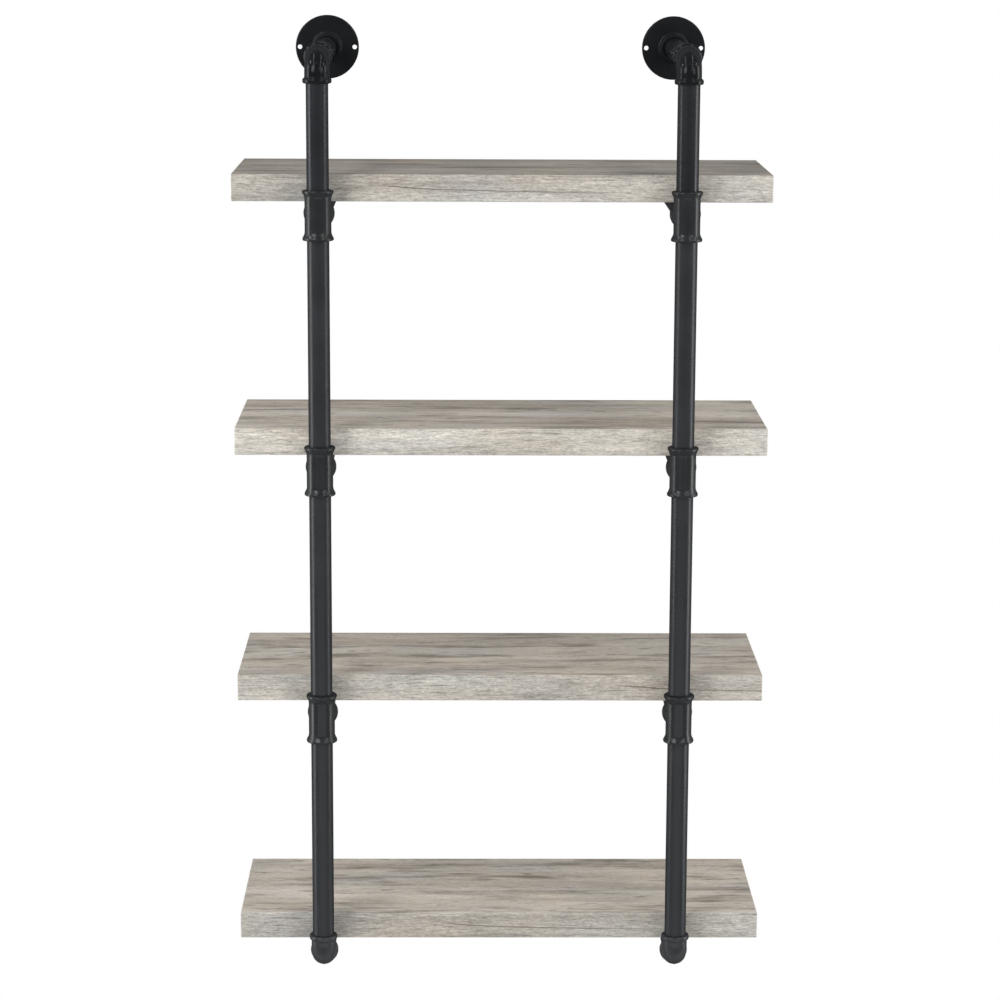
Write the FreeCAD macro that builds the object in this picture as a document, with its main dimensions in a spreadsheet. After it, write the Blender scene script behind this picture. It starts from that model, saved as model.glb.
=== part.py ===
import FreeCAD, Part
import os
import re
import Sketcher

# Wall shelf: four boards carried on two uprights of black pipe.
# Origin: on the wall, midway between the two flange centres. X runs to the right along the wall,
# Y runs into the wall, so the shelf stands on the -Y side, and Z runs up.

# Every size that can be set by itself, in millimetres, with angles in degrees.
sizes = {
    # Layout
    "riser_spacing": 412,
    "riser_standoff": 260,
    "first_shelf_drop": 174,
    "shelf_pitch": 290,
    # Boards
    "board_width": 610,
    "board_depth": 203,
    "board_thickness": 31,
    "board_edge_round": 1.2,
    "board_front_gap": 1,
    "board_seat_gap": 0.1,
    # Pipe
    "pipe_diameter": 25,
    "pipe_wall": 1.5,
    # Cast fittings: sockets and passages are alike in tees and elbows
    "fitting_reach": 28,
    "socket_depth": 12,
    "socket_gap": 0.3,
    "passage_diameter": 21,
    "tee_barrel": 30,
    "branch_barrel": 29,
    "branch_passage": 20,
    "tee_bead": 35.2,
    "tee_lip": 2.6,
    "tee_lip_round": 1.2,
    "tee_flare": 5,
    "tee_flare_round": 10,
    "elbow_barrel": 28,
    "elbow_bend": 18,
    "elbow_bead": 32.4,
    "elbow_ring": 4.8,
    "elbow_ring_round": 2,
    "elbow_ring_foot": 1.8,
    "elbow_foot_round": 1.6,
    "seam_width": 0.9,
    "seam_height": 0.3,
    "nub_diameter": 3.6,
    "nub_height": 0.7,
    "nub_angle": 24,
    # Wall flange
    "flange_diameter": 75,
    "flange_plate": 4,
    "flange_rim_round": 1.4,
    "flange_lip": 2,
    "boss_diameter": 32,
    "boss_height": 16,
    "boss_foot_round": 3,
    "boss_mouth_round": 1,
    "hole_diameter": 5.5,
    "hole_circle": 65,
    # Grub screw in the flange's boss
    "grub_diameter": 4,
    "grub_hole_gap": 0.1,
    "grub_tip_gap": 0.1,
    "grub_angle": 40,
    "grub_height": 10,
    "grub_recess": 0.4,
    "grub_hex": 2,
    "grub_hex_depth": 1.5,
    # Plug in the wall end of an arm
    "plug_head": 3,
    "plug_head_round": 0.8,
    "plug_stem": 12,
    "plug_stem_gap": 0.3,
    "plug_stem_wall": 1.6,
    # Wood screws up through the arms
    "screw_diameter": 5,
    "screw_length": 48,
    "screw_point": 5,
    "screw_inset": 38,
    "screw_seat_gap": 0.1,
    "screw_hole_gap": 0.25,
    "screw_tip_gap": 1,
    "screw_head": 9.6,
    "screw_head_height": 3.2,
    "screw_head_round": 1.6,
    "screw_cross_span": 4.8,
    "screw_cross_slot": 1.1,
    "screw_cross_depth": 1.7,
    # How far cuts run past what they cut
    "overrun": 1,
}
tiers = (1, 2, 3, 4)
sides = {"left": -1, "right": 1}

# Two sizes count as one when they differ by less than this share of themselves.
match_share = 1e-6

doc = FreeCAD.newDocument("wall_shelf")
sheet = doc.addObject("Spreadsheet::Sheet", "sizes")
for row, (name, number) in enumerate(sizes.items(), 1):
    sheet.set(f"A{row}", name)
    sheet.set(f"B{row}", str(number))
    sheet.setAlias(f"B{row}", name)
doc.recompute()


# A length written with size names, as the document's expressions name them.
def sized(text):
    def with_sheet(found):
        return "sizes." + found.group() if found.group() in sizes else found.group()

    return re.sub(r"[a-z_]+", with_sheet, text)


def amount(text):
    return float(sheet.evalExpression(sized(text)))


# Places in the whole shelf
riser_y = "-riser_standoff"
seat = "(fitting_reach - socket_depth)"
board_front_y = "(fitting_reach + board_front_gap - riser_standoff)"
screw_spacing = "(board_depth - 2 * screw_inset)"
arm_length = f"riser_standoff - {seat} - plug_head"
tee_lip_start = "(fitting_reach - tee_lip)"
tee_flare_start = "(fitting_reach - tee_lip - tee_flare)"
ring_start = "(fitting_reach - elbow_ring)"
ring_foot = "(fitting_reach - elbow_ring - elbow_ring_foot)"


def riser_x(side):
    return f"{sides[side]} * riser_spacing / 2"


def shelf_level(tier):
    return f"(-first_shelf_drop - {tier - 1} * shelf_pitch)"


upright = FreeCAD.Rotation()
to_wall = FreeCAD.Rotation(FreeCAD.Vector(1, 0, 0), -90)
from_wall = FreeCAD.Rotation(FreeCAD.Vector(1, 0, 0), 90)
turned_over = FreeCAD.Rotation(FreeCAD.Vector(0, 1, 0), 180)


def new_body(label):
    body = doc.addObject("PartDesign::Body", label)
    body.Label = label
    return body


def place(body, x, y, z, rotation=upright):
    body.Placement = FreeCAD.Placement(FreeCAD.Vector(), rotation)
    for axis, text in (("x", x), ("y", y), ("z", z)):
        body.setExpression(f"Placement.Base.{axis}", sized(text))
    return body


def origin_part(body, role):
    return next(part for part in body.Origin.OriginFeatures if part.Role == role)


def new_sketch(body, name, role, height="0"):
    sketch = body.newObject("Sketcher::SketchObject", name)
    sketch.AttachmentSupport = (origin_part(body, role), "")
    sketch.MapMode = "FlatFace"
    sketch.setExpression("AttachmentOffset.Base.z", sized(height))
    return sketch


# Ties one end or centre of a sketch's curve to a place named by two lengths.
def pin_point(sketch, curve, point, x, y):
    for kind, text, axis in (("DistanceX", x, -2), ("DistanceY", y, -1)):
        if text == "0":
            sketch.addConstraint(Sketcher.Constraint("PointOnObject", curve, point, axis))
        else:
            rule = Sketcher.Constraint(kind, -1, 1, curve, point, amount(text))
            number = sketch.addConstraint(rule)
            sketch.setExpression(f"Constraints[{number}]", sized(text))


def add_outline(sketch, corners):
    spots = [FreeCAD.Vector(amount(x), amount(y), 0) for x, y in corners]
    first = sketch.GeometryCount
    for number, spot in enumerate(spots):
        following = spots[(number + 1) % len(spots)]
        sketch.addGeometry(Part.LineSegment(spot, following), False)
    for number, (x, y) in enumerate(corners):
        line = first + number
        before = first + (number - 1) % len(corners)
        sketch.addConstraint(Sketcher.Constraint("Coincident", before, 2, line, 1))
        pin_point(sketch, line, 1, x, y)
    return sketch


def add_ring(sketch, diameter, x="0", y="0"):
    centre = FreeCAD.Vector(amount(x), amount(y), 0)
    circle = Part.Circle(centre, FreeCAD.Vector(0, 0, 1), amount(diameter) / 2)
    curve = sketch.addGeometry(circle, False)
    number = sketch.addConstraint(Sketcher.Constraint("Diameter", curve, amount(diameter)))
    sketch.setExpression(f"Constraints[{number}]", sized(diameter))
    pin_point(sketch, curve, 3, x, y)
    return sketch


def pad(body, sketch, length, middle=False):
    feature = body.newObject("PartDesign::Pad", sketch.Name + "_pad")
    feature.Profile = sketch
    feature.Midplane = middle
    feature.setExpression("Length", sized(length))
    return feature


# Cuts a sketch's outline through or to a depth. Every cut has to take something away.
def pocket(body, sketch, length=None, reverse=False):
    doc.recompute()
    before = body.Shape.Volume
    feature = body.newObject("PartDesign::Pocket", sketch.Name + "_cut")
    feature.Profile = sketch
    if length is None:
        feature.Type = "ThroughAll"
        feature.Midplane = True
    else:
        feature.Reversed = reverse
        feature.setExpression("Length", sized(length))
    doc.recompute()
    if not body.Shape.Volume < before:
        raise RuntimeError(f"{body.Label}: {sketch.Name} cuts nothing")
    return feature


# Turns a half outline about its sketch's own X or Y axis: "H_Axis" or "V_Axis".
def revolve(body, sketch, axis="V_Axis"):
    feature = body.newObject("PartDesign::Revolution", sketch.Name + "_turned")
    feature.Profile = sketch
    feature.ReferenceAxis = (sketch, [axis])
    return feature


def groove(body, sketch, axis="V_Axis"):
    doc.recompute()
    before = body.Shape.Volume
    feature = body.newObject("PartDesign::Groove", sketch.Name + "_bored")
    feature.Profile = sketch
    feature.ReferenceAxis = (sketch, [axis])
    doc.recompute()
    if not body.Shape.Volume < before:
        raise RuntimeError(f"{body.Label}: {sketch.Name} bores nothing")
    return feature


# A round edge of the given diameter, centred the given distance from the body's origin.
def is_ring(edge, diameter, distance):
    if not isinstance(edge.Curve, Part.Circle):
        return False
    near_size = abs(edge.Curve.Radius * 2 / amount(diameter) - 1) < match_share
    return near_size and abs(edge.Curve.Center.Length / amount(distance) - 1) < match_share


# Rounds those edges of the body so far that the test picks.
def round_edges(body, name, radius, picked):
    doc.recompute()
    base = body.Tip
    chosen = [f"Edge{n}" for n, edge in enumerate(base.Shape.Edges, 1) if picked(edge)]
    fillet = body.newObject("PartDesign::Fillet", name)
    fillet.Base = (base, chosen)
    fillet.setExpression("Radius", sized(radius))
    return fillet


def round_rings(body, name, radius, rings):
    def picked(edge):
        return any(is_ring(edge, diameter, distance) for diameter, distance in rings)

    return round_edges(body, name, radius, picked)


# Pieces of pipe lie along their own Z axis from z = 0.
def pipe(label, length):
    body = new_body(label)
    section = new_sketch(body, "section", "XY_Plane")
    add_ring(section, "pipe_diameter")
    add_ring(section, "pipe_diameter - 2 * pipe_wall")
    pad(body, section, length)
    return body


def screw_holes(body):
    sketch = new_sketch(body, "screw_holes", "XZ_Plane")
    first = f"fitting_reach + board_front_gap + screw_inset - {seat}"
    for along in (first, f"{first} + {screw_spacing}"):
        add_ring(sketch, "screw_diameter + 2 * screw_hole_gap", "0", along)
    pocket(body, sketch)


# The half outline of a mouth's bead, as (radius, distance out): it widens from foot to start.
def bead_corners(barrel, bead, foot, start):
    return [
        ("0", foot),
        (f"{barrel} / 2", foot),
        (f"{bead} / 2", start),
        (f"{bead} / 2", "fitting_reach"),
        ("0", "fitting_reach"),
    ]


# The two edges of a mouth's bead, as (diameter, distance out).
def bead_rings(bead, start):
    return [(bead, start), (bead, "fitting_reach")]


# Socket for a pipe's end at a mouth, as (radius, distance out), down to its shoulder.
socket_corners = [
    ("0", seat),
    ("pipe_diameter / 2 + socket_gap", seat),
    ("pipe_diameter / 2 + socket_gap", "fitting_reach + overrun"),
    ("0", "fitting_reach + overrun"),
]


def mirrored(corners):
    return [(x, f"-({y})" if y != "0" else y) for x, y in corners]


def swapped(corners):
    return [(y, x) for x, y in corners]


# A tee's run stands along Z and its branch points along +Y, all about its own origin.
def tee(label):
    body = new_body(label)
    run = new_sketch(body, "run", "XY_Plane")
    pad(body, add_ring(run, "tee_barrel"), f"2 * {tee_flare_start}", middle=True)
    beads = bead_corners("tee_barrel", "tee_bead", tee_flare_start, tee_lip_start)
    upper = new_sketch(body, "upper_bead", "YZ_Plane")
    revolve(body, add_outline(upper, beads))
    lower = new_sketch(body, "lower_bead", "YZ_Plane")
    revolve(body, add_outline(lower, mirrored(beads)))
    branch = new_sketch(body, "branch", "YZ_Plane")
    beads = bead_corners("branch_barrel", "tee_bead", tee_flare_start, tee_lip_start)
    corners = [("0", "0"), ("branch_barrel / 2", "0")] + beads[1:]
    revolve(body, add_outline(branch, swapped(corners)), "H_Axis")
    round_rings(body, "lips", "tee_lip_round", bead_rings("tee_bead", tee_lip_start))
    flares = [("tee_barrel", tee_flare_start), ("branch_barrel", tee_flare_start)]
    round_rings(body, "flares", "tee_flare_round", flares)

    # Casting seam in the plane of the run and the branch
    front = "(tee_barrel / 2 + seam_height)"
    above = "(branch_barrel / 2 + seam_height)"
    seam = new_sketch(body, "seam", "YZ_Plane")
    corners = [
        (f"-{front}", f"-{tee_lip_start}"),
        (front, f"-{tee_lip_start}"),
        (front, f"-{above}"),
        (tee_lip_start, f"-{above}"),
        (tee_lip_start, above),
        (front, above),
        (front, tee_lip_start),
        (f"-{front}", tee_lip_start),
    ]
    pad(body, add_outline(seam, corners), "seam_width", middle=True)

    passage = new_sketch(body, "passage", "XY_Plane")
    pocket(body, add_ring(passage, "passage_diameter"))
    side_passage = [
        ("0", "0"),
        ("0", "branch_passage / 2"),
        ("fitting_reach + overrun", "branch_passage / 2"),
        ("fitting_reach + overrun", "0"),
    ]
    side = new_sketch(body, "side_passage", "YZ_Plane")
    groove(body, add_outline(side, side_passage), "H_Axis")
    for name, corners, axis in (
        ("upper_socket", socket_corners, "V_Axis"),
        ("lower_socket", mirrored(socket_corners), "V_Axis"),
        ("side_socket", swapped(socket_corners), "H_Axis"),
    ):
        groove(body, add_outline(new_sketch(body, name, "YZ_Plane"), corners), axis)
    return body


# The elbow's centre line, from its lower mouth up, round the bend and out along +Y.
def bend_path(body):
    path = new_sketch(body, "bend", "YZ_Plane")
    reach = amount("fitting_reach")
    bend = amount("elbow_bend")
    up = FreeCAD.Vector(0, 1, 0)
    out = FreeCAD.Vector(1, 0, 0)
    centre = (out - up) * bend
    path.addGeometry(Part.LineSegment(-up * reach, -up * bend), False)
    circle = Part.Circle(centre, FreeCAD.Vector(0, 0, 1), bend)
    quarter = circle.toShape().Length / bend / 4
    path.addGeometry(Part.ArcOfCircle(circle, quarter, 2 * quarter), False)
    path.addGeometry(Part.LineSegment(out * bend, out * reach), False)
    path.addConstraint(Sketcher.Constraint("Tangent", 0, 2, 1, 2))
    path.addConstraint(Sketcher.Constraint("Tangent", 2, 1, 1, 1))
    pin_point(path, 0, 1, "0", "-fitting_reach")
    pin_point(path, 2, 2, "fitting_reach", "0")
    pin_point(path, 1, 3, "elbow_bend", "-elbow_bend")
    return path


def along_bend(body, kind, path, section):
    feature = body.newObject(kind, section.Name + "_swept")
    feature.Profile = section
    feature.Spine = (path, ["Edge1", "Edge2", "Edge3"])
    return feature


# An elbow's mouths point along -Z and +Y from its own origin.
def elbow(label):
    body = new_body(label)
    path = bend_path(body)
    barrel = new_sketch(body, "barrel", "XY_Plane", "-fitting_reach")
    along_bend(body, "PartDesign::AdditivePipe", path, add_ring(barrel, "elbow_barrel"))
    corners = bead_corners("elbow_barrel", "elbow_bead", ring_foot, ring_start)
    lower = new_sketch(body, "lower_bead", "YZ_Plane")
    revolve(body, add_outline(lower, mirrored(corners)))
    side = new_sketch(body, "side_bead", "YZ_Plane")
    revolve(body, add_outline(side, swapped(corners)), "H_Axis")
    round_rings(body, "rings", "elbow_ring_round", bead_rings("elbow_bead", ring_start))
    round_rings(body, "ring_feet", "elbow_foot_round", [("elbow_barrel", ring_foot)])

    # Casting seam round the bend, in its own plane
    half = "seam_width / 2"
    out = "(elbow_barrel / 2 + seam_height)"
    corners = [(f"-{half}", f"-{out}"), (half, f"-{out}"), (half, out), (f"-{half}", out)]
    seam = new_sketch(body, "seam", "XY_Plane", "-fitting_reach")
    along_bend(body, "PartDesign::AdditivePipe", path, add_outline(seam, corners))

    # Casting nub on the outside of the bend, a shallow cap of a ball
    nub = body.newObject("PartDesign::AdditiveSphere", "nub")
    nub.setExpression("Radius", sized("nub_diameter / 2"))
    out = "(elbow_bend + elbow_barrel / 2 + nub_height - nub_diameter / 2)"
    nub.setExpression("Placement.Base.y", sized(f"elbow_bend - {out} * cos(nub_angle)"))
    nub.setExpression("Placement.Base.z", sized(f"{out} * sin(nub_angle) - elbow_bend"))

    passage = new_sketch(body, "passage", "XY_Plane", "-fitting_reach")
    add_ring(passage, "passage_diameter")
    along_bend(body, "PartDesign::SubtractivePipe", path, passage)
    lower = new_sketch(body, "lower_socket", "YZ_Plane")
    groove(body, add_outline(lower, mirrored(socket_corners)))
    side = new_sketch(body, "side_socket", "YZ_Plane")
    groove(body, add_outline(side, swapped(socket_corners)), "H_Axis")
    return body


# A flange stands on its wall face with its axis along its own Z. Its grub screw points along its own
# X axis, and its two screw holes lie in a line at the grub angle to that, on the given side.
def wall_flange(label, hand):
    body = new_body(label)
    corners = [
        ("0", "0"),
        ("flange_diameter / 2", "0"),
        ("flange_diameter / 2", "flange_plate"),
        ("boss_diameter / 2", "flange_plate"),
        ("boss_diameter / 2", "boss_height"),
        ("0", "boss_height"),
    ]
    revolve(body, add_outline(new_sketch(body, "half_section", "XZ_Plane"), corners))
    round_rings(body, "rim", "flange_rim_round", [("flange_diameter", "flange_plate")])
    round_rings(body, "boss_foot", "boss_foot_round", [("boss_diameter", "flange_plate")])
    round_rings(body, "boss_mouth", "boss_mouth_round", [("boss_diameter", "boss_height")])

    bore = [
        ("0", "-overrun"),
        ("passage_diameter / 2", "-overrun"),
        ("passage_diameter / 2", "flange_lip"),
        ("pipe_diameter / 2 + socket_gap", "flange_lip"),
        ("pipe_diameter / 2 + socket_gap", "boss_height + overrun"),
        ("0", "boss_height + overrun"),
    ]
    groove(body, add_outline(new_sketch(body, "bore", "XZ_Plane"), bore))
    holes = new_sketch(body, "wall_screw_holes", "XY_Plane")
    for end in (1, -1):
        across = f"{end} * hole_circle / 2 * cos(grub_angle)"
        up = f"{end * hand} * hole_circle / 2 * sin(grub_angle)"
        add_ring(holes, "hole_diameter", across, up)
    pocket(body, holes)
    grub_hole = new_sketch(body, "grub_hole", "YZ_Plane")
    add_ring(grub_hole, "grub_diameter + 2 * grub_hole_gap", "0", "grub_height")
    pocket(body, grub_hole, "boss_diameter / 2 + overrun", reverse=True)
    return body


# A grub screw points along its own Z axis, its origin on the flange's axis.
def grub_screw(label):
    body = new_body(label)
    shank = new_sketch(body, "shank", "XY_Plane", "pipe_diameter / 2 + grub_tip_gap")
    add_ring(shank, "grub_diameter")
    pad(body, shank, "(boss_diameter - pipe_diameter) / 2 - grub_tip_gap - grub_recess")
    key = new_sketch(body, "key", "XY_Plane", "boss_diameter / 2 - grub_recess")
    corner = "grub_hex / sqrt(3)"
    turns = [30 + 60 * step for step in range(6)]
    add_outline(key, [(f"{corner} * cos({turn})", f"{corner} * sin({turn})") for turn in turns])
    pocket(body, key, "grub_hex_depth")
    return body


# A plug stands on its head's flat face with its stem along its own Z axis.
def arm_plug(label):
    body = new_body(label)
    stem = "(pipe_diameter / 2 - pipe_wall - plug_stem_gap)"
    corners = [
        ("0", "0"),
        ("pipe_diameter / 2", "0"),
        ("pipe_diameter / 2", "plug_head"),
        (stem, "plug_head"),
        (stem, "plug_head + plug_stem"),
        (f"{stem} - plug_stem_wall", "plug_head + plug_stem"),
        (f"{stem} - plug_stem_wall", "plug_head"),
        ("0", "plug_head"),
    ]
    revolve(body, add_outline(new_sketch(body, "half_section", "XZ_Plane"), corners))
    low = amount("plug_head") / 2
    round_edges(body, "head_edge", "plug_head_round", lambda edge: edge.BoundBox.ZMax < low)
    return body


# A board's origin is the middle of its lower front edge.
def board(label):
    body = new_body(label)
    half = "board_width / 2"
    corners = [(f"-{half}", "0"), (half, "0"), (half, "board_depth"), (f"-{half}", "board_depth")]
    pad(body, add_outline(new_sketch(body, "face", "XY_Plane"), corners), "board_thickness")
    round_edges(body, "eased_edges", "board_edge_round", lambda edge: True)
    pilots = new_sketch(body, "pilot_holes", "XY_Plane")
    for side in sides:
        for along in ("screw_inset", "board_depth - screw_inset"):
            add_ring(pilots, "screw_diameter + 2 * screw_hole_gap", riser_x(side), along)
    under_board = "(pipe_diameter + board_seat_gap + screw_seat_gap)"
    pocket(body, pilots, f"screw_length - {under_board} + screw_tip_gap", reverse=True)
    return body


# The four screws of one board. The first one's head seats at the body's origin, point up, and the
# others repeat it across the risers and along the arms.
def board_screws(label):
    body = new_body(label)
    corners = [
        ("0", "-screw_head_height"),
        ("screw_head / 2", "-screw_head_height"),
        ("screw_head / 2", "0"),
        ("screw_diameter / 2", "0"),
        ("screw_diameter / 2", "screw_length - screw_point"),
        ("0", "screw_length"),
    ]
    turned = revolve(body, add_outline(new_sketch(body, "half_section", "XZ_Plane"), corners))
    head = round_rings(body, "head_edge", "screw_head_round", [("screw_head", "screw_head_height")])
    span = "screw_cross_span / 2"
    slot = "screw_cross_slot / 2"
    corners = []
    for across, up in ((1, 1), (-1, 1), (-1, -1), (1, -1)):
        steps = [(slot, span), (slot, slot), (span, slot)]
        if across * up > 0:
            steps = steps[::-1]
        corners += [(f"{across} * {x}", f"{up} * {y}") for x, y in steps]
    cross = add_outline(new_sketch(body, "cross", "XY_Plane", "-screw_head_height"), corners)
    recess = pocket(body, cross, "screw_cross_depth", reverse=True)
    grid = body.newObject("PartDesign::MultiTransform", "four_screws")
    grid.Originals = [turned, head, recess]
    grid.Transformations = [
        row_of_two(body, "across", "X_Axis", "riser_spacing"),
        row_of_two(body, "along", "Y_Axis", screw_spacing),
    ]
    body.Tip = grid
    return body


def row_of_two(body, name, role, length):
    row = body.newObject("PartDesign::LinearPattern", name)
    row.Direction = (origin_part(body, role), [""])
    row.Occurrences = 2
    row.setExpression("Length", sized(length))
    return row


def build_flanges(side):
    hand = sides[side]
    about_axis = amount("grub_angle") if hand < 0 else 180 - amount("grub_angle")
    turn = from_wall * FreeCAD.Rotation(FreeCAD.Vector(0, 0, 1), about_axis)
    flange = place(wall_flange(f"wall_flange_{side}", hand), riser_x(side), "0", "0", turn)
    outwards = turn * FreeCAD.Rotation(FreeCAD.Vector(0, 1, 0), 90)
    grub = grub_screw(f"flange_grub_screw_{side}")
    place(grub, riser_x(side), "-grub_height", "0", outwards)
    nipple = pipe(f"top_nipple_{side}", f"riser_standoff - {seat} - flange_lip")
    place(nipple, riser_x(side), f"{riser_y} + {seat}", "0", to_wall)
    return [flange, grub, nipple]


# Risers hang between the fittings' shoulders: from the top elbow down, tee by tee.
def build_riser(side):
    x = riser_x(side)
    pieces = [place(elbow(f"top_elbow_{side}"), x, riser_y, "0")]
    above = "0"
    for tier in tiers:
        level = shelf_level(tier)
        riser = pipe(f"riser_pipe_{tier}_{side}", f"({above}) - {level} - 2 * {seat}")
        pieces.append(place(riser, x, riser_y, f"{level} + {seat}"))
        above = level
        if tier != tiers[-1]:
            pieces.append(place(tee(f"tee_{tier}_{side}"), x, riser_y, level))
    last = elbow(f"bottom_elbow_{side}")
    pieces.append(place(last, x, riser_y, shelf_level(tiers[-1]), turned_over))
    return pieces


def build_arms(side):
    pieces = []
    for tier in tiers:
        arm = pipe(f"shelf_arm_{tier}_{side}", arm_length)
        screw_holes(arm)
        level = shelf_level(tier)
        pieces.append(place(arm, riser_x(side), f"{riser_y} + {seat}", level, to_wall))
        plug = arm_plug(f"arm_plug_{tier}_{side}")
        pieces.append(place(plug, riser_x(side), "0", level, from_wall))
    return pieces


def build_boards():
    pieces = []
    for tier in tiers:
        level = shelf_level(tier)
        seat_level = f"{level} + pipe_diameter / 2 + board_seat_gap"
        pieces.append(place(board(f"board_{tier}"), "0", board_front_y, seat_level))
        screws = board_screws(f"board_screws_{tier}")
        head_level = f"{level} - pipe_diameter / 2 - screw_seat_gap"
        along = f"{board_front_y} + screw_inset"
        pieces.append(place(screws, riser_x("left"), along, head_level))
    return pieces


pieces = build_boards()
for side in sides:
    pieces += build_flanges(side)
    pieces += build_riser(side)
    pieces += build_arms(side)
doc.recompute()

for item in doc.Objects:
    if "Invalid" in item.State or "Error" in item.State:
        raise RuntimeError(f"{item.Label} ({item.Name}) failed: {item.State}")
for piece in pieces:
    if piece.Shape.isNull() or not piece.Shape.isValid():
        raise RuntimeError(f"{piece.Label} has no valid shape")

os.makedirs("parts", exist_ok=True)
for piece in pieces:
    piece.Shape.exportStep(f"parts/{piece.Label}.step")
print(f"{len(pieces)} sub-parts written")
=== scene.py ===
import math

import bpy
from mathutils import Matrix, Vector


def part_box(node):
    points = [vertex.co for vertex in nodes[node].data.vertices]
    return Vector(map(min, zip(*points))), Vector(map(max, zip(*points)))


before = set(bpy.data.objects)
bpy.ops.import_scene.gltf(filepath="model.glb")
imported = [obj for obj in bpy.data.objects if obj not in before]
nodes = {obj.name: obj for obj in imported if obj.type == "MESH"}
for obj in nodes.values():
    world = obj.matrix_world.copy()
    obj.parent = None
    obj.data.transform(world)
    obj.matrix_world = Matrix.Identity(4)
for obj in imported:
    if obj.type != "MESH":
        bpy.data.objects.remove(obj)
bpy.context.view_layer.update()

print("frame loaded with", len(nodes), "nodes")


def linear(hexColour):
    # sRGB hex to linear red, green and blue, with full alpha
    parts = [int(hexColour[i:i + 2], 16) / 255 for i in (1, 3, 5)]
    return [c / 12.92 if c <= 0.04045 else ((c + 0.055) / 1.055) ** 2.4 for c in parts] + [1.0]


def addNode(tree, kind, settings, inputs):
    # A setting is one of the node's own, or the stops of a ramp as (position, hex or grey level).
    # An input is a value or a link, given as a node for its first output or else as (node, output).
    # A MapRange reads from 1 to 2 and gives 3 to 4. A Mix takes its colours at 6 and 7 and gives one
    # at 2, and takes its vectors at 4 and 5 and gives one at 1
    node = tree.nodes.new("ShaderNode" + kind)
    for name, value in settings.items():
        if name != "stops":
            setattr(node, name, value)
            continue
        band = node.color_ramp.elements
        while len(band) < len(value):
            band.new(1.0)
        for stop, (position, tone) in zip(band, value):
            stop.position = position
            stop.color = linear(tone) if isinstance(tone, str) else (tone, tone, tone, 1)
    for key, value in inputs.items():
        source, output = value if isinstance(value, tuple) and len(value) == 2 else (value, 0)
        if isinstance(source, bpy.types.Node):
            tree.links.new(source.outputs[output], node.inputs[key])
        else:
            node.inputs[key].default_value = value
    return node


def makeMaterial(name, surfaceOf):
    material = bpy.data.materials.new(name)
    material.use_nodes = True
    tree = material.node_tree
    tree.nodes.clear()
    addNode(tree, "OutputMaterial", {}, {"Surface": surfaceOf(tree)})
    return material


skin = {
    "noiseRange": (0.3, 0.7),    # noise lies mostly between these
    "hazeRange": (0.32, 0.62),   # how far the view turns from square on, 0, to edge on, 1
    "haze": 0.62,                # roughness that a matted skin gains over that turn
}


def roughSkin(tree, noise, ends, hazy):
    # Roughness follows a noise from one end to the other. A matted skin also loses its gloss at a
    # glancing angle, so that edges seen against the light stay dark
    low, high = skin["noiseRange"]
    rough = addNode(tree, "MapRange", {}, {0: noise, 1: low, 2: high, 3: ends[0], 4: ends[1]})
    if not hazy:
        return rough
    begin, end = skin["hazeRange"]
    glancing = addNode(tree, "LayerWeight", {}, {})
    haze = addNode(tree, "MapRange", {}, {
        0: (glancing, "Facing"), 1: begin, 2: end, 3: 0.0, 4: skin["haze"],
    })
    return addNode(tree, "Math", {"operation": "ADD", "use_clamp": True}, {0: rough, 1: haze})


# Boards

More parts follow.
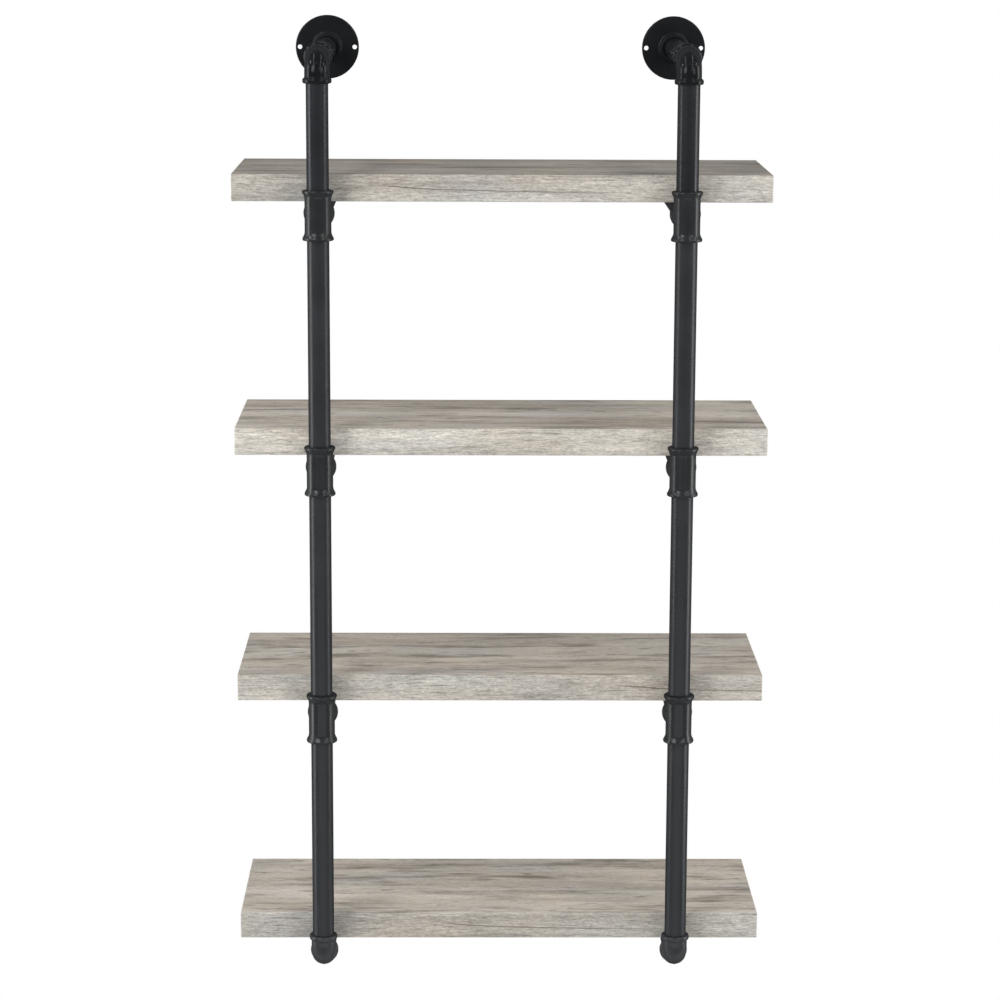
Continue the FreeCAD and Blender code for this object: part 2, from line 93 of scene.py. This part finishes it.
board = {
    # The faces and the edge band are two prints of the same wood, the band a shade paler
    "faceTones": [(0.30, "#8f867c"), (0.42, "#a39b91"), (0.54, "#b0a99f"), (0.70, "#bcb5ac")],
    "bandTones": [(0.30, "#9b968e"), (0.44, "#aaa59d"), (0.56, "#b4b0a8"), (0.72, "#bfbbb3")],
    # Warm and cool patches, then brown stains and small knots: their share of the colour, by the noise
    "patchTones": [
        ("#c7b9a8", [(0.50, 0.0), (0.72, 0.30)]),
        ("#a3a6ab", [(0.28, 0.26), (0.48, 0.0)]),
    ],
    "stainTone": "#5e584d",
    "stainStops": [(0.51, 0.0), (0.57, 0.32), (0.67, 0.82)],
    "knotStops": [(0.62, 0.0), (0.68, 0.45), (0.76, 0.8)],
    "stainsOnBand": 0.3,     # the band shows this share of them
    # Layers of the printed grain: length along it and width across it in metres, detail, roughness.
    # Fibres and flecks are about twice as coarse as the print, so that they show
    "layers": {
        "bands": (0.50, 0.034, 3.0, 0.58),
        "patches": (0.130, 0.045, 2.0, 0.50),
        "stains": (0.150, 0.0230, 5.0, 0.66),
        "knots": (0.034, 0.0090, 3.0, 0.60),
        "streaks": (0.130, 0.0085, 4.0, 0.62),
        "lines": (0.110, 0.0026, 2.0, 0.55),
        "fibres": (0.016, 0.0014, 2.0, 0.65),
        "flecks": (0.0042, 0.0016, 2.0, 0.60),
    },
    "layerStep": (3.1, 1.7, 5.3),    # each layer is taken this much further on in the noise
    # Share of light that each layer leaves, by its noise
    "shades": {
        "streaks": [(0.30, 0.88), (0.44, 0.98), (0.58, 1.0), (0.72, 1.04)],
        "lines": [(0.24, 0.60), (0.31, 0.84), (0.37, 1.0)],
        "fibres": [(0.28, 0.74), (0.44, 0.94), (0.56, 1.03), (0.72, 1.16)],
        "flecks": [(0.25, 0.78), (0.45, 0.96), (0.60, 1.04), (0.78, 1.18)],
    },
    "bandContrast": 1.6,     # the band's print is cut closer, so its shades are taken to this power
    "wander": 0.006,         # how far the grain strays from straight, either way
    "wanderWaves": (4, 11, 11),      # waves of that in a metre along the grain and across it
    # Painted light and shade per board: light added on its faces and on its band, which darkens the top
    # board's faces most
    "paintedBoardLight": {
        "board_1": (-0.43, 0.0),
        "board_2": (0.0, 0.14),
        "board_3": (-0.03, -0.06),
        "board_4": (0.08, -0.10),
    },
    # The front band's print has one long crack, and is cut to a different place on each board
    "crackTone": "#59544e",
    "crackStarts": {"board_1": -0.143, "board_3": 0.134, "board_4": -0.072},
    "crackLength": 0.30,
    "crackStops": [(0.0, 0.0), (0.06, 0.9), (0.62, 0.75), (1.0, 0.0)],   # how strong it is on its way
    "crackDrop": 0.008,
    "crackSettle": 0.085,    # it falls by all but a third of the drop in this length
    "crackRest": 0.0095,     # and runs out at this height above the underside
    "crackWander": 0.0022,
    "crackWaves": (22, 0, 3.7),      # in a metre along the board and from board to board
    "crackWidth": 0.0007,
    "squareOn": 0.72,        # a side faces along an axis when that share of its normal does
    "underside": 0.001,      # heights are told from this far below each underside
    "fibreRelief": 0.8,      # depth of the fibres' pores against the flecks'
    "poreDepth": 0.00025,
    "poreStrength": 0.6,
    "roughness": (0.66, 0.54),
    "specular": 0.3,
}


def driftwoodOakMelamine(tree):
    # Particle board faced with melamine-soaked paper, printed as weathered grey oak and pressed with
    # its pores: the eye sees soft brown-grey bands and stains, short fibres and a crack along the edge
    squareOn = board["squareOn"]
    place = addNode(tree, "TexCoord", {}, {})
    parts = addNode(tree, "SeparateXYZ", {}, {0: (place, "Object")})
    surface = addNode(tree, "NewGeometry", {}, {})
    facing = addNode(tree, "SeparateXYZ", {}, {0: (surface, "Normal")})
    # On the two ends the band's grain runs across the end, so X and Y change places there
    sideways = addNode(tree, "Math", {"operation": "ABSOLUTE"}, {0: facing})
    onEnd = addNode(tree, "Math", {"operation": "GREATER_THAN"}, {0: sideways, 1: squareOn})
    turned = addNode(tree, "CombineXYZ", {}, {0: (parts, 1), 1: parts, 2: (parts, 2)})
    along = addNode(tree, "Mix", {"data_type": "VECTOR"}, {0: onEnd, 4: (place, "Object"), 5: turned})
    upright = addNode(tree, "Math", {"operation": "ABSOLUTE"}, {0: (facing, 2)})
    onBand = addNode(tree, "Math", {"operation": "LESS_THAN"}, {0: upright, 1: squareOn})
    drift = addNode(tree, "Mapping", {}, {"Vector": (along, 1), "Scale": board["wanderWaves"]})
    stray = addNode(tree, "TexNoise", {}, {"Vector": drift, "Scale": 1.0, "Detail": 3.0})
    strayParts = addNode(tree, "SeparateXYZ", {}, {0: (stray, "Color")})
    across = addNode(tree, "CombineXYZ", {}, {1: (strayParts, 1), 2: (strayParts, 2)})
    # Noise swings by half either way, so that twice the wander gives all of it
    offset = addNode(tree, "VectorMath", {"operation": "SCALE"}, {0: across, "Scale": board["wander"] * 2})
    grained = addNode(tree, "VectorMath", {"operation": "ADD"}, {0: (along, 1), 1: offset})

    layer = {}
    for number, (name, (length, width, detail, rough)) in enumerate(board["layers"].items()):
        scaled = addNode(tree, "Mapping", {}, {
            "Vector": grained,
            "Location": [step * number for step in board["layerStep"]],
            "Scale": (1 / length, 1 / width, 1 / width),
        })
        layer[name] = addNode(tree, "TexNoise", {}, {
            "Vector": scaled, "Scale": 1.0, "Detail": detail, "Roughness": rough,
        })

    face = addNode(tree, "ValToRGB", {"stops": board["faceTones"]}, {0: layer["bands"]})
    band = addNode(tree, "ValToRGB", {"stops": board["bandTones"]}, {0: layer["bands"]})
    tone = addNode(tree, "Mix", {"data_type": "RGBA"}, {0: onBand, 6: face, 7: band})
    for tint, stops in board["patchTones"]:
        share = addNode(tree, "ValToRGB", {"stops": stops}, {0: layer["patches"]})
        tone = addNode(tree, "Mix", {"data_type": "RGBA"}, {0: share, 6: (tone, 2), 7: linear(tint)})

    # Brown stains with ragged ends and small knots lie on the faces, and only a trace of them on the band
    stain = addNode(tree, "ValToRGB", {"stops": board["stainStops"]}, {0: layer["stains"]})
    knot = addNode(tree, "ValToRGB", {"stops": board["knotStops"]}, {0: layer["knots"]})
    stain = addNode(tree, "Math", {"operation": "MAXIMUM"}, {0: stain, 1: knot})
    kept = addNode(tree, "MapRange", {}, {0: onBand, 3: 1.0, 4: board["stainsOnBand"]})
    stain = addNode(tree, "Math", {"operation": "MULTIPLY"}, {0: stain, 1: kept})
    brown = linear(board["stainTone"])
    tone = (addNode(tree, "Mix", {"data_type": "RGBA"}, {0: stain, 6: (tone, 2), 7: brown}), 2)

    power = addNode(tree, "MapRange", {}, {0: onBand, 3: 1.0, 4: board["bandContrast"]})
    for name, stops in board["shades"].items():
        # A ramp stops at 1, so the shades are halved in it and doubled after it
        half = [(position, level / 2) for position, level in stops]
        shade = addNode(tree, "ValToRGB", {"stops": half}, {0: layer[name]})
        shade = addNode(tree, "Math", {"operation": "MULTIPLY"}, {0: shade, 1: 2.0})
        shade = addNode(tree, "Math", {"operation": "POWER"}, {0: shade, 1: power})
        tone = addNode(tree, "VectorMath", {"operation": "SCALE"}, {0: tone, "Scale": shade})

    here = {}
    # Painted light and shade: each board's colour is scaled by its own shares from the table above
    light = 1.0
    for name, (onFaces, onBands) in board["paintedBoardLight"].items():
        low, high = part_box(name)
        here[name] = addNode(tree, "Math", {"operation": "COMPARE"}, {
            0: (parts, 2), 1: (low.z + high.z) / 2, 2: high.z - low.z,
        })
        added = addNode(tree, "MapRange", {}, {0: onBand, 3: onFaces, 4: onBands})
        light = addNode(tree, "Math", {"operation": "MULTIPLY_ADD"}, {0: here[name], 1: added, 2: light})
    tone = addNode(tree, "VectorMath", {"operation": "SCALE"}, {0: tone, "Scale": light})

    # The crack's height above the underside is rest + drop * e ** -(way / settle) plus a little noise,
    # where way is how far a place lies to the right of its start
    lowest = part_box("board_4")[0].z
    pitch = (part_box("board_1")[0].z - lowest) / 3
    under = board["underside"]
    above = addNode(tree, "Math", {"operation": "SUBTRACT"}, {0: (parts, 2), 1: lowest})
    height = addNode(tree, "Math", {"operation": "WRAP"}, {0: above, 1: pitch - under, 2: -under})
    way = parts
    cracked = 0.0
    for name, begin in board["crackStarts"].items():
        way = addNode(tree, "Math", {"operation": "MULTIPLY_ADD"}, {0: here[name], 1: -begin, 2: way})
        cracked = addNode(tree, "Math", {"operation": "ADD"}, {0: cracked, 1: here[name]})
    settled = addNode(tree, "Math", {"operation": "DIVIDE"}, {0: way, 1: -board["crackSettle"]})
    remaining = addNode(tree, "Math", {"operation": "EXPONENT"}, {0: settled})
    middle = addNode(tree, "Math", {"operation": "MULTIPLY_ADD"}, {
        0: remaining, 1: board["crackDrop"], 2: board["crackRest"],
    })
    levelPlace = addNode(tree, "Mapping", {}, {"Vector": (place, "Object"), "Scale": board["crackWaves"]})
    level = addNode(tree, "TexNoise", {}, {"Vector": levelPlace, "Scale": 1.0, "Detail": 4.0})
    swing = addNode(tree, "Math", {"operation": "MULTIPLY_ADD"}, {
        0: level, 1: board["crackWander"], 2: middle,
    })
    off = addNode(tree, "Math", {"operation": "SUBTRACT"}, {0: height, 1: swing})
    off = addNode(tree, "Math", {"operation": "ABSOLUTE"}, {0: off})
    line = addNode(tree, "MapRange", {}, {
        0: off, 1: board["crackWidth"] / 2, 2: board["crackWidth"], 3: 1.0, 4: 0.0,
    })
    passed = addNode(tree, "Math", {"operation": "DIVIDE"}, {0: way, 1: board["crackLength"]})
    shown = addNode(tree, "ValToRGB", {"stops": board["crackStops"]}, {0: passed})
    shown = addNode(tree, "Math", {"operation": "MULTIPLY"}, {0: shown, 1: cracked})
    onFront = addNode(tree, "Math", {"operation": "LESS_THAN"}, {0: (facing, 1), 1: -squareOn})
    shown = addNode(tree, "Math", {"operation": "MULTIPLY"}, {0: shown, 1: onFront})
    crack = addNode(tree, "Math", {"operation": "MULTIPLY"}, {0: line, 1: shown})
    dark = linear(board["crackTone"])
    tone = addNode(tree, "Mix", {"data_type": "RGBA"}, {0: crack, 6: tone, 7: dark})

    # Pressed pores follow the printed grain
    relief = addNode(tree, "Math", {"operation": "MULTIPLY_ADD"}, {
        0: layer["fibres"], 1: board["fibreRelief"], 2: layer["flecks"],
    })
    relief = addNode(tree, "Math", {"operation": "SUBTRACT"}, {0: relief, 1: crack})
    bump = addNode(tree, "Bump", {}, {
        "Strength": board["poreStrength"], "Distance": board["poreDepth"], "Height": relief,
    })
    rough = roughSkin(tree, layer["fibres"], board["roughness"], True)
    return addNode(tree, "BsdfPrincipled", {}, {
        "Base Color": (tone, 2), "Roughness": rough, "Normal": bump,
        "IOR": 1.5, "Specular IOR Level": board["specular"],
    })


# Pipes and fittings

pipePaint = {
    "peelSize": 0.0016,      # orange peel of the spray, metres
    "peelDepth": 0.00004,
    "cloudScale": 24.0,      # soft differences of tone and gloss, waves in a metre
    "finishes": {
        # tones, roughness, specular level, strength of the peel, haze at a glancing angle
        "satin": ([(0.35, "#131518"), (0.75, "#1b1d21")], (0.31, 0.39), 0.23, 0.5, True),
        # Painted shade: darker tones for the top risers
        "paintedShade": ([(0.35, "#0d0f13"), (0.75, "#14171b")], (0.24, 0.31), 0.20, 0.3, True),
        "gloss": ([(0.35, "#090b0e"), (0.75, "#0f1215")], (0.10, 0.15), 0.20, 0.02, False),
    },
}
castPaint = {
    "grainSize": 0.0012,     # sand grain, drawn coarser than real so that it shows
    "runWidth": 0.0065,      # the dipped paint runs down in soft upright waves
    "runLength": 0.060,
    "depth": 0.00004,
    "strength": 0.6,
    "cloudScale": 48.0,
    "finishes": {
        # tones, roughness, specular level, depth of the waves against the grain's
        "gloss": ([(0.35, "#06080a"), (0.75, "#0b0e11")], (0.13, 0.19), 0.10, 7.0),
        "satin": ([(0.35, "#0d0f11"), (0.75, "#141619")], (0.22, 0.29), 0.23, 7.0),
        "even": ([(0.35, "#090b0e"), (0.75, "#0f1215")], (0.28, 0.36), 0.11, 1.5),
        # Painted light: paler tones for the lowest elbows
        "paintedLight": ([(0.35, "#1b1e20"), (0.75, "#24272a")], (0.24, 0.31), 0.26, 7.0),
    },
}


def paintedSteelTube(tree, finish):
    tones, ends, specular, strength, hazy = pipePaint["finishes"][finish]
    place = addNode(tree, "TexCoord", {}, {})
    peel = addNode(tree, "TexNoise", {}, {
        "Vector": (place, "Object"), "Scale": 1 / pipePaint["peelSize"], "Detail": 2.0,
    })
    cloud = addNode(tree, "TexNoise", {}, {
        "Vector": (place, "Object"), "Scale": pipePaint["cloudScale"], "Detail": 4.0,
    })
    tone = addNode(tree, "ValToRGB", {"stops": tones}, {0: cloud})
    rough = roughSkin(tree, cloud, ends, hazy)
    bump = addNode(tree, "Bump", {}, {
        "Strength": strength, "Distance": pipePaint["peelDepth"], "Height": peel,
    })
    return addNode(tree, "BsdfPrincipled", {}, {
        "Base Color": tone, "Roughness": rough, "Normal": bump,
        "IOR": 1.5, "Specular IOR Level": specular,
    })


def satinPaintedSteelTube(tree):
    # Drawn steel tube sprayed satin black: soft upright highlights and a faint orange peel
    return paintedSteelTube(tree, "satin")


def shadedPaintedSteelTube(tree):
    # Painted shade: the top risers get darker tones than the other tubes, so that they come out blacker.
    # Their coat is also smoother, with tighter highlights
    return paintedSteelTube(tree, "paintedShade")


def glossPaintedSteelTube(tree):
    # The same tube in the wall bracket's gloss coat: seen along its length it mirrors the black flange
    return paintedSteelTube(tree, "gloss")


def paintedSandCastIron(tree, finish):
    # Malleable iron cast in sand and painted black: deeper black than the tube, small hard glints,
    # and upright reflections that split and waver where the paint ran
    tones, ends, specular, runShare = castPaint["finishes"][finish]
    place = addNode(tree, "TexCoord", {}, {})
    sand = addNode(tree, "TexNoise", {}, {
        "Vector": (place, "Object"), "Scale": 1 / castPaint["grainSize"], "Detail": 3.0,
    })
    acrossRuns = 1 / castPaint["runWidth"]
    drawn = addNode(tree, "Mapping", {}, {
        "Vector": (place, "Object"), "Scale": (acrossRuns, acrossRuns, 1 / castPaint["runLength"]),
    })
    runs = addNode(tree, "TexNoise", {}, {"Vector": drawn, "Scale": 1.0, "Detail": 1.0})
    cloud = addNode(tree, "TexNoise", {}, {
        "Vector": (place, "Object"), "Scale": castPaint["cloudScale"], "Detail": 3.0,
    })
    tone = addNode(tree, "ValToRGB", {"stops": tones}, {0: cloud})
    rough = roughSkin(tree, cloud, ends, True)
    height = addNode(tree, "Math", {"operation": "MULTIPLY_ADD"}, {0: runs, 1: runShare, 2: sand})
    bump = addNode(tree, "Bump", {}, {
        "Strength": castPaint["strength"], "Distance": castPaint["depth"], "Height": height,
    })
    return addNode(tree, "BsdfPrincipled", {}, {
        "Base Color": tone, "Roughness": rough, "Normal": bump,
        "IOR": 1.5, "Specular IOR Level": specular,
    })


def glossDippedCastIron(tree):
    # Freshly dipped and left glossy: the blackest iron, with tight streaks and almost no sheen
    return paintedSandCastIron(tree, "gloss")


def satinDippedCastIron(tree):
    # A drier dip: a little greyer, with broader and softer glints
    return paintedSandCastIron(tree, "satin")


def sprayedCastIron(tree):
    # Sprayed flat on its back, so nothing ran: an even dull black that keeps the fine sand grain
    return paintedSandCastIron(tree, "even")


def paintedLightCastIron(tree):
    # Painted light: the lowest elbows get paler tones than the other fittings, so that they come out
    # greyer
    return paintedSandCastIron(tree, "paintedLight")


# Screws and plugs

smallParts = {
    "swirl": 0.4,            # how far the pattern is drawn into curls
    "strength": 0.4,
    "kinds": {
        # tones, roughness, pattern size in metres, relief in metres, metallic
        "zinc": ([(0.35, "#b4b7ba"), (0.70, "#d2d4d7")], (0.24, 0.38), 0.0011, 0.00003, 1.0),
        "oxide": ([(0.35, "#3b3c3f"), (0.70, "#56575b")], (0.28, 0.42), 0.0014, 0.00003, 1.0),
        "plastic": ([(0.35, "#141414"), (0.70, "#1e1e1f")], (0.50, 0.66), 0.0008, 0.00005, 0.0),
    },
}


def smallPart(tree, kind):
    tones, ends, size, depth, metallic = smallParts["kinds"][kind]
    place = addNode(tree, "TexCoord", {}, {})
    pattern = addNode(tree, "TexNoise", {}, {
        "Vector": (place, "Object"), "Scale": 1 / size, "Detail": 3.0, "Distortion": smallParts["swirl"],
    })
    tone = addNode(tree, "ValToRGB", {"stops": tones}, {0: pattern})
    rough = roughSkin(tree, pattern, ends, False)
    bump = addNode(tree, "Bump", {}, {
        "Strength": smallParts["strength"], "Distance": depth, "Height": pattern,
    })
    return addNode(tree, "BsdfPrincipled", {}, {
        "Base Color": tone, "Roughness": rough, "Normal": bump, "Metallic": metallic,
    })


def zincPlatedSteel(tree):
    # Cold-headed wood screws with bright zinc: pale blue-grey metal with a fine crystal swirl
    return smallPart(tree, "zinc")


def blackOxideSteel(tree):
    # Hardened socket screws with a black oxide: dark and slightly oily
    return smallPart(tree, "oxide")


def mouldedPolyethylene(tree):
    # Pipe plugs injection moulded in black polyethylene: a spark-eroded satin skin, no gloss
    return smallPart(tree, "plastic")


finishes = {
    # material, surface and slot. A piece takes the first line whose name its own starts with
    "board_screws": ("bright_zinc_plated_steel", zincPlatedSteel, "screw_steel"),
    "board": ("driftwood_oak_melamine", driftwoodOakMelamine, "board_finish"),
    "flange_grub_screw": ("black_oxide_steel", blackOxideSteel, "grub_steel"),
    "arm_plug": ("matt_black_polyethylene", mouldedPolyethylene, "plug_plastic"),
    "riser_pipe_1": ("shaded_black_painted_steel_tube", shadedPaintedSteelTube, "pipe_paint"),
    "riser_pipe": ("satin_black_painted_steel_tube", satinPaintedSteelTube, "pipe_paint"),
    "top_nipple": ("gloss_black_painted_steel_tube", glossPaintedSteelTube, "pipe_paint"),
    "shelf_arm": ("satin_black_painted_steel_tube", satinPaintedSteelTube, "pipe_paint"),
    "tee": ("satin_black_sand_cast_iron", satinDippedCastIron, "cast_fitting"),
    "top_elbow": ("gloss_black_sand_cast_iron", glossDippedCastIron, "cast_fitting"),
    "bottom_elbow": ("painted_light_black_sand_cast_iron", paintedLightCastIron, "cast_fitting"),
    "wall_flange": ("sprayed_black_sand_cast_iron", sprayedCastIron, "cast_fitting"),
}
for name, piece in sorted(nodes.items()):
    title, surfaceOf, slotName = next(row for start, row in finishes.items() if name.startswith(start))
    piece.data.materials.clear()
    piece.data.materials.append(bpy.data.materials.get(title) or makeMaterial(title, surfaceOf))
print("materials set")


# Floor, light and camera

studio = {
    "floorLevel": -1.9,
    "floorHalf": 14.0,
    "floorTone": "#f2f2f2",
    "floorWhite": 0.45,      # share of plain white close to the object
    "shadowRadius": 0.9,     # from here the floor turns to plain white
    "shadowFade": 1.5,       # and is white at so many times that radius
    "sky": 0.33,             # strength of the world for diffuse light
    "aim": (0, -0.15, -0.5),
    "softboxes": {
        # centre, size across and up, watts, and 1 for a lamp that is aimed straight back at the wall
        "key_softbox": ((-2.0, -2.6, 1.0), (1.2, 1.2), 43, 0),
        "fill_softbox": ((2.2, -2.5, 0.8), (1.0, 1.2), 20, 0),
        "left_strip": ((-1.1, -1.5, 1.55), (0.16, 3.0), 21, 1),
        "right_strip": ((1.1, -1.5, 1.55), (0.16, 3.0), 19, 1),
        "left_softbox": ((-2.2, -0.36, -0.45), (0.6, 2.4), 33, 0),
        "right_softbox": ((2.2, -0.34, -0.45), (0.6, 2.4), 34, 0),
        "left_glint": ((-2.0, -0.8, 1.3), (0.25, 0.25), 8, 0),
        "right_glint": ((2.0, -0.8, 1.2), (0.20, 0.20), 5, 0),
        "low_reflector": ((0.0, -2.0, -1.38), (2.8, 0.95), 9.5, 0),
    },
}


def seenRays(tree):
    # 1 for what the camera, gloss and glass see, 0 for what lights the object
    ray = addNode(tree, "LightPath", {}, {})
    seen = addNode(tree, "Math", {"operation": "MAXIMUM"}, {
        0: (ray, "Is Camera Ray"), 1: (ray, "Is Glossy Ray"),
    })
    return addNode(tree, "Math", {"operation": "MAXIMUM"}, {0: seen, 1: (ray, "Is Transmission Ray")})


def makeWorld():
    world = bpy.data.worlds.new("pale_studio")
    bpy.context.scene.world = world
    world.use_nodes = True
    tree = world.node_tree
    tree.nodes.clear()
    strength = addNode(tree, "MapRange", {}, {0: seenRays(tree), 3: studio["sky"], 4: 1.0})
    sky = addNode(tree, "Background", {}, {"Color": (1, 1, 1, 1), "Strength": strength})
    addNode(tree, "OutputWorld", {}, {"Surface": sky})


def paleFloor(tree):
    # Matt near the object, where its shadow falls, and the background's white further out
    near = studio["shadowRadius"]
    place = addNode(tree, "TexCoord", {}, {})
    flat = addNode(tree, "VectorMath", {"operation": "MULTIPLY"}, {0: (place, "Object"), 1: (1, 1, 0)})
    distance = addNode(tree, "VectorMath", {"operation": "LENGTH"}, {0: flat})
    fade = addNode(tree, "MapRange", {"interpolation_type": "SMOOTHSTEP"}, {
        0: (distance, "Value"), 1: near, 2: near * studio["shadowFade"], 3: studio["floorWhite"], 4: 1.0,
    })
    share = addNode(tree, "Math", {"operation": "MULTIPLY"}, {0: fade, 1: seenRays(tree)})
    matt = addNode(tree, "BsdfDiffuse", {}, {"Color": linear(studio["floorTone"])})
    white = addNode(tree, "Emission", {}, {"Color": (1, 1, 1, 1), "Strength": 1.0})
    top = addNode(tree, "MixShader", {}, {0: share, 1: matt, 2: white})
    # From below the floor lets the view through
    side = addNode(tree, "NewGeometry", {}, {})
    clear = addNode(tree, "BsdfTransparent", {}, {})
    return addNode(tree, "MixShader", {}, {0: (side, "Backfacing"), 1: top, 2: clear})


def makeFloor():
    half, z = studio["floorHalf"], studio["floorLevel"]
    corners = [(-half, -half, z), (half, -half, z), (half, half, z), (-half, half, z)]
    mesh = bpy.data.meshes.new("floor")
    mesh.from_pydata(corners, [], [(0, 1, 2, 3)])
    mesh.materials.append(makeMaterial("pale_floor", paleFloor))
    floor = bpy.data.objects.new("floor", mesh)
    bpy.context.scene.collection.objects.link(floor)


def addSoftbox(name, centre, size, power, straight):
    light = bpy.data.lights.new(name, "AREA")
    light.shape = "RECTANGLE"
    light.size, light.size_y = size
    light.energy = power
    lamp = bpy.data.objects.new(name, light)
    bpy.context.scene.collection.objects.link(lamp)
    lamp.location = centre
    lamp.rotation_mode = "QUATERNION"
    aim = Vector(studio["aim"]) + Vector((straight * centre[0], 0, 0))
    lamp.rotation_quaternion = (aim - Vector(centre)).to_track_quat("-Z", "Y")
    lamp.visible_camera = False


photoCamera = {
    # Fitted to the photograph's corners of boards, pipes and fittings, in metres and degrees
    "place": (-0.0427, -3.560, 0.165),
    "pitchDown": 11.351,
    "yaw": -0.715,
    "roll": 0.252,
    # both in millimetres
    "lens": 106.51,
    "sensor": 36.0,
}


def makeCamera():
    data = bpy.data.cameras.new("photo_camera")
    data.lens = photoCamera["lens"]
    data.sensor_width = photoCamera["sensor"]
    data.dof.use_dof = False
    camera = bpy.data.objects.new("photo_camera", data)
    bpy.context.scene.collection.objects.link(camera)
    yaw = Matrix.Rotation(math.radians(photoCamera["yaw"]), 3, "Z")
    pitch = Matrix.Rotation(math.radians(90 - photoCamera["pitchDown"]), 3, "X")
    roll = Matrix.Rotation(math.radians(photoCamera["roll"]), 3, "Z")
    camera.rotation_mode = "QUATERNION"
    camera.rotation_quaternion = (yaw @ pitch @ roll).to_quaternion()
    camera.location = photoCamera["place"]
    bpy.context.scene.camera = camera


makeWorld()
makeFloor()
for name, lamp in studio["softboxes"].items():
    addSoftbox(name, *lamp)
makeCamera()
bpy.context.scene.view_settings.view_transform = "Standard"
print("studio ready")
